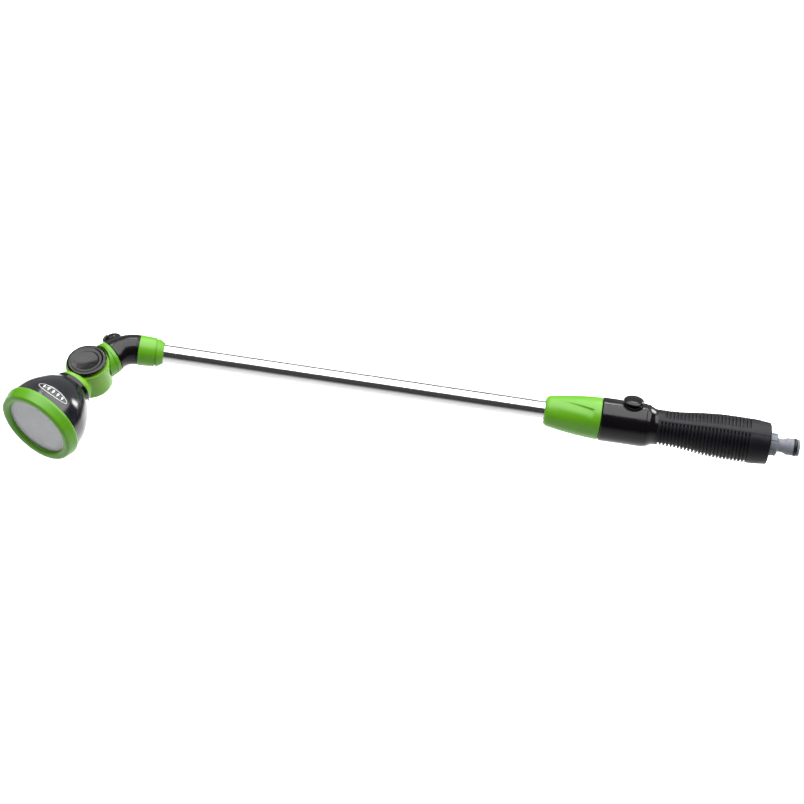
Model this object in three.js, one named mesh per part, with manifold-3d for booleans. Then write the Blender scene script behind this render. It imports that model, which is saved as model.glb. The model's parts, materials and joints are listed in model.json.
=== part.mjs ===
// Watering wand with a tilting shower head: hose connector, grip with a thumb valve, straight aluminium
// tube, fixed elbow, swivel collar, pivot barrel and rose head.
// Millimetres. X runs along the tube with the hose at the +X end, and the origin is the middle of the
// hose connector's end face. +Z is the side of the thumb knob, so the wand is level and upright.

import * as THREE from 'three';
import { mergeVertices } from 'three/addons/utils/BufferGeometryUtils.js';
import Module from 'manifold-3d';

const wasm = await Module();
wasm.setup();

// Driving dimensions.
const GAP = 0.3; // between pieces that touch
const TUBE_R = 9.5;
const TUBE_WALL = 1;
const NOSE_R = 8.9; // quick-connect nose
const HANDLE_END = -31.5;
const VALVE_X = -174;
const BODY_END = -205;
const BODY_R = 22.4;
const GRIP_R = 22.9;
const GRIP_WAIST_R = 18.1;
const SHOULDER_X = -147;
const SLEEVE_END = -262;
const NUT_BACK = -652.6;
const NUT_FRONT = -678;
const ELBOW_X = -692; // where the tube's line meets the collar's line
const ELBOW_R = 15.4;
const BEND_R = 30;
const PIVOT_OUT = 45.9; // from the elbow's corner to the tilt axis
const COLLAR_R = 17.2;
const BARREL_R = 22.4;
const BARREL_TOP = 12.2;
const BARREL_FLOOR = -19.5;
const CORE_R = 12;
const BUTTON_R = 20.5;
const NECK_R = 18.9;
const NECK_RING_R = 20.6;
const ROSE_R = 43.5;
const BEZEL_BACK = 76.3; // from the tilt axis along the head
const BEZEL_FRONT = 89;

// Angles in degrees: how the elbow is turned on the tube, its bend, and the rest pose of the head.
const ELBOW_TURN = 30;
const ELBOW_BEND = 46;
const SWIVEL_REST = -15;
const TILT_REST = 17.5;
const TILT_HALF = 17.5;

// Facets round the widest turned pieces, the usual ones and the small ones.
const FINE = 28;
const ROUND = 20;
const SMALL = 16;
const radians = THREE.MathUtils.degToRad;

// ---- turning three.js geometry into solids and back ----

function trianglesOf(geometry) {
  const index = geometry.getIndex().array;
  const kept = [];
  for (let i = 0; i < index.length; i += 3) {
    const [a, b, c] = [index[i], index[i + 1], index[i + 2]];
    if (a !== b && b !== c && a !== c) kept.push(a, b, c);
  }
  return kept;
}

function signedVolume(position, triangles) {
  const [a, b, c] = [new THREE.Vector3(), new THREE.Vector3(), new THREE.Vector3()];
  let volume = 0;
  for (let i = 0; i < triangles.length; i += 3) {
    a.fromBufferAttribute(position, triangles[i]);
    b.fromBufferAttribute(position, triangles[i + 1]);
    c.fromBufferAttribute(position, triangles[i + 2]);
    volume += a.dot(b.cross(c));
  }
  return volume;
}

function solidOf(geometry) {
  geometry.deleteAttribute('normal');
  geometry.deleteAttribute('uv');
  const merged = mergeVertices(geometry);
  const position = merged.getAttribute('position');
  let triangles = trianglesOf(merged);
  if (signedVolume(position, triangles) < 0) triangles = triangles.reverse();
  const vertProperties = new Float32Array(position.array);
  const triVerts = new Uint32Array(triangles);
  return new wasm.Manifold(new wasm.Mesh({ numProp: 3, vertProperties, triVerts }));
}

function geometryOf(solid) {
  const mesh = solid.getMesh();
  const geometry = new THREE.BufferGeometry();
  geometry.setAttribute('position', new THREE.BufferAttribute(mesh.vertProperties, 3));
  geometry.setIndex(new THREE.BufferAttribute(mesh.triVerts, 1));
  geometry.computeVertexNormals();
  return geometry;
}

function piece(name, solid, material) {
  const mesh = new THREE.Mesh(geometryOf(solid), material);
  mesh.name = name;
  return mesh;
}

// ---- basic shapes ----

// A profile is a list of [distance along the axis, radius]. Off the axis it closes on itself.
function revolve(profile, facets = ROUND, axis = 'x') {
  const points = profile.map(([along, radius]) => new THREE.Vector2(radius, along));
  if (profile[0][1] > 0) points.push(points[0].clone());
  const geometry = new THREE.LatheGeometry(points, facets);
  if (axis === 'x') geometry.rotateZ(-Math.PI / 2);
  if (axis === 'z') geometry.rotateX(Math.PI / 2);
  return solidOf(geometry);
}

// Pieces beyond the elbow are measured outwards, along -X of their own frame.
function outward(profile) {
  return profile.map(([distance, radius]) => [-distance, radius]);
}

function rod(from, to, radius, facets = SMALL, axis = 'x') {
  return revolve([[from, 0], [from, radius], [to, radius], [to, 0]], facets, axis);
}

function ring(from, to, outer, inner, facets = ROUND, axis = 'x') {
  return revolve([[from, outer], [to, outer], [to, inner], [from, inner]], facets, axis);
}

function oRing(middle, inner, outer, halfWidth, axis = 'x') {
  const sides = 6;
  const section = [];
  for (let i = 0; i < sides; i += 1) {
    const angle = (2 * Math.PI * (i + 0.5)) / sides;
    const along = middle + halfWidth * Math.cos(angle);
    section.push([along, (inner + outer) / 2 + ((outer - inner) / 2) * Math.sin(angle)]);
  }
  return revolve(section, SMALL, axis);
}

function box(lengthX, lengthY, lengthZ, x, y, z) {
  const geometry = new THREE.BoxGeometry(lengthX, lengthY, lengthZ);
  geometry.translate(x, y, z);
  return solidOf(geometry);
}

// A flat outline in XY, extruded evenly to both sides of z = 0.
function slab(points, width) {
  const shape = new THREE.Shape(points.map(([x, y]) => new THREE.Vector2(x, y)));
  const geometry = new THREE.ExtrudeGeometry(shape, { depth: width, bevelEnabled: false });
  geometry.translate(0, 0, -width / 2);
  return solidOf(geometry);
}

function circleShape(radius, sides) {
  const shape = new THREE.Shape();
  shape.absarc(0, 0, radius, 0, 2 * Math.PI, false);
  return new THREE.Shape(shape.getSpacedPoints(sides).slice(0, sides));
}

// The elbow's centre line: straight along the tube, round the bend, straight along the collar's line.
class BentLine extends THREE.Curve {
  constructor(leadIn, leadOut) {
    super();
    this.leadIn = leadIn;
    this.leadOut = leadOut;
    this.angle = radians(ELBOW_BEND);
    this.tangent = BEND_R * Math.tan(this.angle / 2);
  }

  getPoint(t, target = new THREE.Vector3()) {
    const arc = BEND_R * this.angle;
    const travelled = t * (this.leadIn + arc + this.leadOut) - this.leadIn;
    const turned = THREE.MathUtils.clamp(travelled / BEND_R, 0, this.angle);
    const straight = travelled - BEND_R * turned;
    const x = this.tangent - BEND_R * Math.sin(turned) - straight * Math.cos(turned);
    const y = BEND_R * (Math.cos(turned) - 1) - straight * Math.sin(turned);
    return target.set(x, y, 0);
  }
}

function bentRod(radius, leadIn, leadOut, facets) {
  const steps = 8;
  const extrudePath = new BentLine(leadIn, leadOut);
  return solidOf(new THREE.ExtrudeGeometry(circleShape(radius, facets), { steps, extrudePath }));
}

class CoilLine extends THREE.Curve {
  constructor(bottom, top, bottomR, topR, turns) {
    super();
    Object.assign(this, { bottom, top, bottomR, topR, turns });
  }

  getPoint(t, target = new THREE.Vector3()) {
    const radius = THREE.MathUtils.lerp(this.bottomR, this.topR, t);
    const angle = 2 * Math.PI * this.turns * t;
    const height = THREE.MathUtils.lerp(this.bottom, this.top, t);
    return target.set(radius * Math.cos(angle), radius * Math.sin(angle), height);
  }
}

function coil(line, wireR) {
  const steps = Math.round(line.turns * 9);
  const section = circleShape(wireR, 5);
  return solidOf(new THREE.ExtrudeGeometry(section, { steps, extrudePath: line }));
}

function turned(solid, x, y, z) {
  return solid.rotate([x, y, z]);
}

// ---- materials ----

function standard(color, roughness, metalness = 0) {
  return new THREE.MeshStandardMaterial({ color, roughness, metalness });
}

const limePlastic = () => standard(0x74b82c, 0.35);
const paleLimePlastic = () => standard(0x9cd050, 0.35);
const blackGloss = () => standard(0x1b191b, 0.2);
const anthraciteGloss = () => standard(0x34363e, 0.2);
const gripRubber = () => standard(0x242126, 0.55);
const sealRubber = () => standard(0x141414, 0.7);
const greyPlastic = () => standard(0x9a9fa8, 0.35);
const pearlPlastic = () => standard(0xb9b9bc, 0.5);
const whitePlastic = () => standard(0xe4e2da, 0.5);
const polishedAluminium = () => standard(0xd6d6d8, 0.18, 1);
const brass = () => standard(0xb48c3c, 0.3, 1);
const springSteel = () => standard(0xa8aab0, 0.3, 1);

// ---- hose end and handle ----

const CONNECTOR_BORE = 5.2;
const SHANK_R = 10.4;
const SHANK_END = -46;

// The nose has an o-ring groove near its tip, a full land, and a neck that the coupling grips behind.
function hoseConnector() {
  const tipR = NOSE_R - 0.3;
  const grooveR = NOSE_R - 1.8;
  const neckR = NOSE_R - 1;
  const flangeR = 11.7;
  const back = HANDLE_END + GAP;
  const profile = [
    [0, neckR], [-0.7, tipR], [-3, tipR], [-3, grooveR], [-6.2, grooveR], [-6.2, NOSE_R],
    [-14.5, NOSE_R], [-17.5, neckR], [-22.4, neckR], [-24, flangeR], [back, flangeR],
    [back, SHANK_R], [SHANK_END, SHANK_R], [SHANK_END, CONNECTOR_BORE], [0, CONNECTOR_BORE],
  ];
  return piece('hose_connector', revolve(profile), greyPlastic());
}

function connectorORing() {
  const middle = -4.6;
  return piece('connector_o_ring', oRing(middle, NOSE_R - 1.55, NOSE_R + 0.2, 1.3), sealRubber());
}

function connectorWasher() {
  const thickness = 2;
  const back = SHANK_END - GAP;
  const washer = ring(back - thickness, back, SHANK_R, CONNECTOR_BORE, SMALL);
  return piece('connector_washer', washer, sealRubber());
}

const STEM_R = 14.7;
const SOCKET_END = SHANK_END - 2.6;
const WATER_R = 6.5;
const GRIP_WALL = 1.7;
const SPIGOT_R = 14.2;
const SPIGOT_END = BODY_END - 31;
const TUBE_BACK = BODY_END - 12;
const TUBE_POCKET_R = TUBE_R + GAP;
const TUBE_SEAL_X = BODY_END - 22.75;
const CHAMBER_R = 9;
const CHAMBER_FLOOR = -10;
const SEAT_R = 7.3;
const SEAT_OUT = 11;

// The soft S between the grip's waist and the full body, with a crease at its front edge.
function shoulderCurve() {
  const length = 11.5;
  const steps = 6;
  const points = [];
  for (let i = 0; i <= steps; i += 1) {
    const rise = (1 - Math.cos((Math.PI * i) / steps)) / 2;
    const radius = THREE.MathUtils.lerp(GRIP_WAIST_R, BODY_R - 0.4, rise);
    points.push([SHOULDER_X - (length * i) / steps, radius]);
  }
  return points;
}

function handleBody() {
  const start = HANDLE_END - GRIP_WALL - GAP;
  const front = BODY_END + GAP;
  const edge = 0.6;
  const profile = [
    [start, STEM_R], [SHOULDER_X, STEM_R], ...shoulderCurve(), [SHOULDER_X - 12.3, BODY_R],
    [front + edge, BODY_R], [front, BODY_R - edge], [front, SPIGOT_R], [SPIGOT_END, SPIGOT_R],
    [SPIGOT_END, TUBE_POCKET_R], [TUBE_BACK + GAP, TUBE_POCKET_R], [TUBE_BACK + GAP, WATER_R],
    [SOCKET_END, WATER_R], [SOCKET_END, SHANK_R + GAP], [start, SHANK_R + GAP],
  ];
  const chamber = rod(CHAMBER_FLOOR, BODY_R + 5, CHAMBER_R, SMALL, 'z').translate([VALVE_X, 0, 0]);
  const seatReach = SEAT_OUT + GAP;
  const seatPockets = rod(VALVE_X - seatReach, VALVE_X + seatReach, SEAT_R + 0.2);
  const sealGroove = ring(TUBE_SEAL_X - 1.75, TUBE_SEAL_X + 1.75, 12.3, TUBE_R, SMALL);
  const body = revolve(profile).subtract(chamber).subtract(seatPockets).subtract(sealGroove);
  return piece('handle_body', body, blackGloss());
}

// Outer radius of the grip: full at the palm, narrowing to a waist below the shoulder.
function gripRadius(x) {
  const palm = -75;
  const waist = -141;
  const full = THREE.MathUtils.clamp((x - waist) / (palm - waist), 0, 1);
  return THREE.MathUtils.lerp(GRIP_WAIST_R, GRIP_R, (1 - Math.cos(Math.PI * full)) / 2);
}

function gripSleeve() {
  const front = SHOULDER_X + GAP;
  const step = 12;
  const mouthR = 12;
  const inside = HANDLE_END - GRIP_WALL;
  const outline = [[HANDLE_END, GRIP_R - 1], [HANDLE_END - 1, GRIP_R - 0.1]];
  for (let x = -50; x > front; x -= step) outline.push([x, gripRadius(x)]);
  outline.push([front, gripRadius(front)], [front, STEM_R + GAP]);
  outline.push([inside, STEM_R + GAP], [inside, mouthR], [HANDLE_END, mouthR]);
  return piece('grip_sleeve', revolve(outline), gripRubber());
}

// ---- thumb valve, about a vertical line through the origin of its own group ----

const BALL_R = 8;
const BALL_BORE = 4.8;
const TONGUE_WIDTH = 2.2;
const SPINDLE_R = 3.2;
const BONNET_TOP = 22;
const SPINDLE_TOP = BONNET_TOP + 2.6;
const KNOB_R = 10.6;
const KNOB_TOP = 29;

function valveBall() {
  const ball = solidOf(new THREE.SphereGeometry(BALL_R, 18, 10));
  const bore = rod(-BALL_R - 1, BALL_R + 1, BALL_BORE, ROUND);
  const slot = box(2 * BALL_R, TONGUE_WIDTH + 2 * GAP, 4, 0, 0, 7.3);
  return piece('valve_ball', ball.subtract(bore).subtract(slot), brass());
}

function valveSeat(name, side) {
  const clear = BALL_R + GAP;
  const innerFace = Math.sqrt(clear ** 2 - (BALL_BORE + 0.1) ** 2) + 0.1;
  const outerFace = Math.sqrt(clear ** 2 - SEAT_R ** 2) + 0.15;
  const profile = [[innerFace, BALL_BORE + 0.1], [outerFace, SEAT_R], [SEAT_OUT, SEAT_R],
    [SEAT_OUT, BALL_BORE + 0.1]];
  return piece(name, revolve(profile.map(([x, r]) => [side * x, r]), SMALL), whitePlastic());
}

function spindle() {
  const tongue = box(7, TONGUE_WIDTH, 3, 0, 0, 7.4);
  const flange = rod(8.5, 10.2, 5, ROUND, 'z');
  const shaft = rod(9, SPINDLE_TOP, SPINDLE_R, ROUND, 'z');
  return piece('spindle', tongue.add(flange).add(shaft), brass());
}

function spindleSeal() {
  return piece('spindle_seal', oRing(12.1, SPINDLE_R + 0.25, 5, 1, 'z'), sealRubber());
}

// A plug round the spindle, hollow below for the spindle's flange and seal.
function valveBonnet() {
  const foot = 10.6;
  const sealTop = 13.5;
  const sealR = 5.3;
  const profile = [
    [foot, CHAMBER_R - GAP], [BONNET_TOP - 0.5, CHAMBER_R - GAP], [BONNET_TOP, CHAMBER_R - 0.8],
    [BONNET_TOP, SPINDLE_R + GAP], [sealTop, SPINDLE_R + GAP], [sealTop, sealR], [foot, sealR],
  ];
  return piece('valve_bonnet', revolve(profile, SMALL, 'z'), blackGloss());
}

// A shallow dome on a narrower stem, over the end of the spindle.
function flowKnob() {
  const underside = BONNET_TOP + 3.1;
  const domeFoot = underside + 0.9;
  const steps = 6;
  const dome = [];
  for (let i = 0; i < steps; i += 1) {
    const angle = (Math.PI / 2) * (i / steps);
    dome.push([domeFoot + (KNOB_TOP - domeFoot) * Math.sin(angle), KNOB_R * Math.cos(angle)]);
  }
  const socketTop = SPINDLE_TOP + GAP;
  const stemR = 6.5;
  const profile = [
    [socketTop, 0], [socketTop, SPINDLE_R + GAP], [BONNET_TOP + GAP, SPINDLE_R + GAP],
    [BONNET_TOP + GAP, stemR], [underside, stemR], [underside, KNOB_R - 0.6], ...dome, [KNOB_TOP, 0],
  ];
  return piece('flow_knob', revolve(profile, ROUND, 'z'), blackGloss());
}

// ---- tube and its two joints ----

const SLEEVE_CAVITY_R = SPIGOT_R + GAP;

// A long sleeve that narrows towards the tube, cone-shaped inside where it squeezes the collet.
function sleeveNut() {
  const fullR = 21.7;
  const taper = 5.9;
  const length = 53;
  const steps = 6;
  const coneEnd = SLEEVE_END + 10;
  const outline = [[BODY_END, fullR - 0.5]];
  for (let i = 0; i <= steps; i += 1) {
    const along = i / steps;
    outline.push([BODY_END - 0.5 - length * along, fullR - taper * along ** 1.6]);
  }
  outline.push([SLEEVE_END + 1, 14], [SLEEVE_END, 12.8], [SLEEVE_END, TUBE_POCKET_R]);
  outline.push([coneEnd, TUBE_POCKET_R], [coneEnd, 11.4]);
  outline.push([SPIGOT_END - 4, SLEEVE_CAVITY_R], [BODY_END, SLEEVE_CAVITY_R]);
  return piece('sleeve_nut', revolve(outline), limePlastic());
}

function tubeCollet() {
  const back = SPIGOT_END - GAP;
  const front = SLEEVE_END + 10.4;
  const outerR = 13.9;
  const profile = [[back, outerR], [SPIGOT_END - 4, outerR], [front, 11], [front, TUBE_POCKET_R],
    [back, TUBE_POCKET_R]];
  const slit = box(30, 1.4, 10, (back + front) / 2, 0, -TUBE_R - 4);
  return piece('tube_collet', revolve(profile, SMALL).subtract(slit), whitePlastic());
}

function tubeSeal() {
  return piece('tube_seal', oRing(TUBE_SEAL_X, TUBE_POCKET_R, 12, 1.5), sealRubber());
}

const TUBE_FRONT = ELBOW_X + 15.5;

function tube() {
  const wall = ring(TUBE_FRONT, TUBE_BACK, TUBE_R, TUBE_R - TUBE_WALL, ROUND);
  return piece('tube', wall, polishedAluminium());
}

const ELBOW_SPIGOT_R = 12.3;
const ELBOW_SPIGOT_END = ELBOW_X + 28;
const ELBOW_SEAL_BACK = ELBOW_SPIGOT_END + 2.5;
const NUT_LIP = 5;

// A cone, a groove, and a band that meets the elbow.
function elbowNut() {
  const cavity = ELBOW_SPIGOT_R + GAP;
  const groove = NUT_FRONT + 17.7;
  const lip = NUT_BACK - NUT_LIP;
  const coneR = 14.3;
  const bandR = 14.8;
  const profile = [
    [NUT_BACK, 10.5], [NUT_BACK - 1.6, 11.7], [groove + 1.8, coneR], [groove + 0.8, coneR],
    [groove, coneR - 0.6], [groove - 0.8, bandR], [NUT_FRONT + 0.4, bandR + 0.9],
    [NUT_FRONT, bandR + 0.5], [NUT_FRONT, cavity], [lip, cavity], [lip, TUBE_POCKET_R],
    [NUT_BACK, TUBE_POCKET_R],
  ];
  return piece('elbow_nut', revolve(profile), limePlastic());
}

function elbowFerrule() {
  const back = NUT_BACK - NUT_LIP - GAP;
  const front = ELBOW_SEAL_BACK + GAP;
  const profile = [[back, 11.6], [back - 1, 12.3], [front, 12.3], [front, TUBE_POCKET_R],
    [back, TUBE_POCKET_R]];
  return piece('elbow_ferrule', revolve(profile, SMALL), whitePlastic());
}

function elbowSeal() {
  const seal = ring(ELBOW_SPIGOT_END + GAP, ELBOW_SEAL_BACK, 12.2, TUBE_POCKET_R, SMALL);
  return piece('elbow_seal', seal, sealRubber());
}

// ---- elbow, about the corner of its centre line ----

const ELBOW_BORE = 7;
const ELBOW_FACE = 17; // from the corner to the face that meets the swivel collar
const CLIP_OUT = 13.7;
const SOCKET_R = 11.3;
const SOCKET_DEPTH = 11;
const LATCH_OUT = 11; // the latch's place along the collar's line
const LATCH_LENGTH = 7;
const LATCH_WIDTH = 8.6;
const LATCH_POCKET_FLOOR = 14.2;
const LATCH_TOP = 23.9;
const LATCH_SPRING_TOP = 18.6;
const LUG_TOP = 20.8;

function alongCollar(solid) {
  return turned(solid, 0, 0, ELBOW_BEND);
}

// The raised lug on the outside of the bend that holds the latch.
function latchLug() {
  const back = 5;
  const outline = [[back, 10], [back - 0.6, 13.5], [back - 2, 16.6], [back - 4.2, 19],
    [back - 7.5, LUG_TOP], [back - 10, LUG_TOP + 1], [-13.5, LUG_TOP + 1], [-ELBOW_FACE, 17.6],
    [-ELBOW_FACE, 10]];
  const crown = rod(-ELBOW_FACE, back, LUG_TOP, ROUND);
  return slab(outline, 15).intersect(crown);
}

function elbow() {
  const straight = NUT_FRONT - GAP - ELBOW_X;
  const tangent = BEND_R * Math.tan(radians(ELBOW_BEND) / 2);
  const tip = ELBOW_SPIGOT_END - ELBOW_X;
  const flangeBack = 8;
  const flange = revolve(outward([[flangeBack, 0], [flangeBack, ELBOW_R - 0.8], [13, ELBOW_R + 0.2],
    [ELBOW_FACE - 0.8, COLLAR_R - 0.3], [ELBOW_FACE, COLLAR_R - 0.5], [ELBOW_FACE, 0]]));
  const pocketHeight = 20;
  const pocket = box(LATCH_LENGTH + 2 * GAP, pocketHeight, LATCH_WIDTH + 2 * GAP,
    -LATCH_OUT, LATCH_POCKET_FLOOR + pocketHeight / 2, 0);
  const socket = rod(-ELBOW_FACE - 1, -ELBOW_FACE + SOCKET_DEPTH, SOCKET_R, ROUND);
  const clipGroove = rod(-CLIP_OUT - 0.9, -CLIP_OUT + 0.9, 12.6, ROUND);
  const outer = bentRod(ELBOW_R, straight - tangent, ELBOW_FACE - tangent, ROUND)
    .add(rod(straight - 1, tip, ELBOW_SPIGOT_R, ROUND))
    .add(alongCollar(flange))
    .add(alongCollar(latchLug()));
  const hollow = bentRod(ELBOW_BORE, tip - tangent + 1, 0, SMALL)
    .add(rod(TUBE_FRONT - ELBOW_X - GAP, tip + 1, TUBE_POCKET_R, ROUND))
    .add(alongCollar(socket))
    .add(alongCollar(clipGroove))
    .add(alongCollar(pocket));
  return piece('elbow', outer.subtract(hollow), blackGloss());
}

// The latch's own frame has its origin at the elbow's corner and -X along the collar's line.
function overLatch(solid) {
  return turned(solid, -90, 0, 0).translate([-LATCH_OUT, 0, 0]);
}

function latchButton() {
  const foot = LATCH_POCKET_FLOOR + 2.3;
  const half = LATCH_LENGTH / 2;
  const shoulder = LATCH_TOP - 1.5;
  const outline = [[-half, foot], [half, foot], [half, shoulder], [half - 1.4, LATCH_TOP - 0.4],
    [0, LATCH_TOP], [1.4 - half, LATCH_TOP - 0.4], [-half, shoulder]];
  const block = slab(outline, LATCH_WIDTH).translate([-LATCH_OUT, 0, 0]);
  const springHole = overLatch(rod(foot - 1, LATCH_SPRING_TOP + 0.6, 2.9, ROUND, 'z'));
  return piece('latch_button', block.subtract(springHole), blackGloss());
}

function latchSpring() {
  const coilR = 2.2;
  const line = new CoilLine(LATCH_POCKET_FLOOR + 0.6, LATCH_SPRING_TOP, coilR, coilR, 3.5);
  return piece('latch_spring', overLatch(coil(line, 0.35)), springSteel());
}

// ---- swivel collar, its seal and clip: same origin, turned about the collar's line ----

const COLLAR_SPIGOT_R = 10.9;
const COLLAR_BORE = 5;
const NECK_TUBE_R = 6.8;
const SWIVEL_SEAL_OUT = 9.9;

// Two bands with a groove between them, hollowed to fit round the barrel.
function swivelCollar() {
  const face = ELBOW_FACE + GAP;
  const end = face + 13.4;
  const grooveR = COLLAR_R - 0.5;
  const bands = revolve(outward([
    [face, 0], [face, COLLAR_R - 0.5], [face + 0.5, COLLAR_R], [face + 4, COLLAR_R + 0.2],
    [face + 4.4, grooveR], [face + 5, grooveR], [face + 5.4, COLLAR_R + 0.4],
    [end, COLLAR_R + 0.5], [end, 0],
  ]));
  const saddle = rod(-30, 30, BARREL_R + GAP, FINE, 'z').translate([-PIVOT_OUT, 0, 0]);
  const spigot = rod(-face - 1, -ELBOW_FACE + SOCKET_DEPTH - 1, COLLAR_SPIGOT_R, ROUND);
  const neckTube = rod(-PIVOT_OUT + 10.4, -face - 2, NECK_TUBE_R);
  const bore = rod(-PIVOT_OUT, 0, COLLAR_BORE);
  const sealGroove = ring(-SWIVEL_SEAL_OUT - 1.4, -SWIVEL_SEAL_OUT + 1.4, 14, 9);
  const clipGroove = ring(-CLIP_OUT - 0.8, -CLIP_OUT + 0.8, 14, 9.6);
  const collar = bands.subtract(saddle).add(spigot).add(neckTube)
    .subtract(bore).subtract(sealGroove).subtract(clipGroove);
  return piece('swivel_collar', collar, limePlastic());
}

function swivelSeal() {
  return piece('swivel_seal', oRing(-SWIVEL_SEAL_OUT, 9.25, 11, 1.1), sealRubber());
}

function swivelClip() {
  const half = 0.6;
  const opening = box(4, 6, 8, -CLIP_OUT, 0, -12);
  const clip = ring(-CLIP_OUT - half, -CLIP_OUT + half, 12.3, 9.9, SMALL);
  return piece('swivel_clip', clip.subtract(opening), springSteel());
}

// ---- pivot core, spring and button, about the tilt axis (Z of this frame) ----

const CAVITY_R = CORE_R + GAP;
const CORE_TOP = 9.4;
const CORE_FLOOR = BARREL_FLOOR + 3.5;
const COUNTERBORE_FLOOR = 9.6;
const PIN_R = 3.1;
const PIVOT_SEAL_UPPER = 8.2;
const PIVOT_SEAL_LOWER = -12.6;

function pivotCore() {
  const outer = rod(CORE_FLOOR, CORE_TOP, CORE_R, ROUND, 'z').add(rod(CORE_TOP - 1, 11.2, 5, SMALL, 'z'));
  const hollow = rod(CORE_FLOOR + 2.2, 6.4, 9.2, SMALL, 'z');
  const pinWell = rod(2.8, 7, 5, SMALL, 'z');
  const pinHole = rod(3.8, 12, PIN_R + GAP, 20, 'z');
  const neckHole = rod(6, 14, NECK_TUBE_R + GAP);
  const outlet = box(10, 17, 12, -11, 0, 0);
  const grooves = [PIVOT_SEAL_UPPER, PIVOT_SEAL_LOWER].map((middle) => (
    ring(middle - 0.8, middle + 0.8, 14, 10.6, ROUND, 'z')));
  const core = outer.subtract(hollow).add(pinWell).subtract(pinHole).subtract(neckHole)
    .subtract(outlet).subtract(grooves[0]).subtract(grooves[1]);
  return piece('pivot_core', core, whitePlastic());
}

function pivotSeal(name, middle) {
  return piece(name, oRing(middle, 10.9, 12.1, 0.65, 'z'), sealRubber());
}

function tiltSpring() {
  return piece('tilt_spring', coil(new CoilLine(10, 13.1, 8.8, 6.2, 2.5), 0.45), springSteel());
}

// A thick round cap with a rolled rim and a shallow dish, on a skirt and a guide pin.
function tiltButton() {
  const top = 17.5;
  const rimFoot = 14.9;
  const pinFoot = 6.6;
  const ceiling = 13.7;
  const skirtFoot = 12.6;
  const skirtR = 17.9;
  const springR = 10.5;
  const profile = [
    [pinFoot, 0], [pinFoot, PIN_R], [ceiling, PIN_R], [ceiling, springR], [skirtFoot, springR],
    [skirtFoot, skirtR], [rimFoot, skirtR],
    [rimFoot, BUTTON_R - 1], [rimFoot + 0.5, BUTTON_R - 0.3], [rimFoot + 1.2, BUTTON_R],
    [top - 0.6, BUTTON_R - 0.5], [top - 0.1, BUTTON_R - 1.6], [top, BUTTON_R - 3.2],
    [top - 0.2, BUTTON_R - 5.5], [top - 0.9, BUTTON_R - 8], [top - 1.5, 7], [top - 1.8, 0],
  ];
  return piece('tilt_button', revolve(profile, ROUND, 'z'), blackGloss());
}

// ---- head: the tilt axis is Z through the origin, and the rose looks along -X ----

const OUTLET_R = 7;
const NECK_END = 26;
const NECK_SPIGOT_R = 14;
const NECK_SPIGOT_END = 37;
const BELL_SEAL_OUT = 29.25;

// The window in the barrel that the collar's neck tube sweeps through as the head tilts.
function tiltWindow() {
  const half = NECK_TUBE_R + 0.5;
  const reach = 28;
  const sweep = radians(-TILT_REST - TILT_HALF);
  const [dirX, dirY] = [Math.cos(sweep), Math.sin(sweep)];
  const middle = sweep / 2;
  const farReach = 1.1 * reach;
  const outline = [
    [0, half], [reach, half], [farReach * Math.cos(middle), farReach * Math.sin(middle)],
    [reach * dirX + half * dirY, reach * dirY - half * dirX], [half * dirY, -half * dirX],
  ];
  return slab(outline, 2 * half);
}

// A drum with a rounded lower rim, with the neck for the bell on its side.
function pivotBarrel() {
  const rim = 5;
  const outline = [[BARREL_FLOOR, 0]];
  for (let i = 0; i <= 3; i += 1) {
    const angle = radians(30 * i);
    outline.push([BARREL_FLOOR + rim * (1 - Math.cos(angle)), BARREL_R - rim * (1 - Math.sin(angle))]);
  }
  outline.push([BARREL_TOP - 0.6, BARREL_R], [BARREL_TOP, BARREL_R - 0.6], [BARREL_TOP, 0]);
  const body = revolve(outline, FINE, 'z');
  const neckBack = 12;
  const neck = revolve(outward([[neckBack, 0], [neckBack, 12], [22.5, NECK_R], [NECK_END, NECK_R],
    [NECK_END, NECK_SPIGOT_R], [NECK_SPIGOT_END, NECK_SPIGOT_R], [NECK_SPIGOT_END, 0]]));
  const cavity = rod(BARREL_FLOOR + 3.2, BARREL_TOP + 1, CAVITY_R, ROUND, 'z');
  const counterbore = rod(COUNTERBORE_FLOOR, BARREL_TOP + 1, 18.4, ROUND, 'z');
  const capRoom = rod(BARREL_TOP, 30, BUTTON_R + 0.7, ROUND, 'z');
  const outlet = rod(-NECK_SPIGOT_END - 1, -6, OUTLET_R);
  const sealGroove = ring(-BELL_SEAL_OUT - 1.25, -BELL_SEAL_OUT + 1.25, 16, 12.2);
  const barrel = body.add(neck).subtract(cavity).subtract(counterbore).subtract(capRoom)
    .subtract(outlet).subtract(tiltWindow()).subtract(sealGroove);
  return piece('pivot_barrel', barrel, paleLimePlastic());
}

function neckRing() {
  const inner = NECK_SPIGOT_R + GAP;
  const back = NECK_END + GAP;
  const front = BELL_BACK - GAP;
  const edge = 0.5;
  const profile = outward([[back, inner], [back, NECK_RING_R - edge], [back + edge, NECK_RING_R],
    [front - edge, NECK_RING_R], [front, NECK_RING_R - edge], [front, inner]]);
  return piece('neck_ring', revolve(profile), blackGloss());
}

function bellSeal() {
  return piece('bell_seal', oRing(-BELL_SEAL_OUT, 12.5, 13.9, 1.1), sealRubber());
}

const BELL_WALL = 2.4;
const BELL_BACK = 31.5;
const BELL_FRONT = 80.8;
const BELL_LIP_R = 35.8;
const BEZEL_BORE_R = 40.9;
const PLATE_R = 39.6;

// The bell's outside from its back to the bezel: a smooth swelling curve.
function bellCurve(inset) {
  const line = new THREE.SplineCurve([
    new THREE.Vector2(BELL_BACK, 21.6), new THREE.Vector2(43, 30.8), new THREE.Vector2(59, 39),
    new THREE.Vector2(BEZEL_BACK - GAP, 42.8),
  ]);
  return line.getPoints(7).map((point) => [point.x + 0.4 * inset, point.y - inset]);
}

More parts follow.
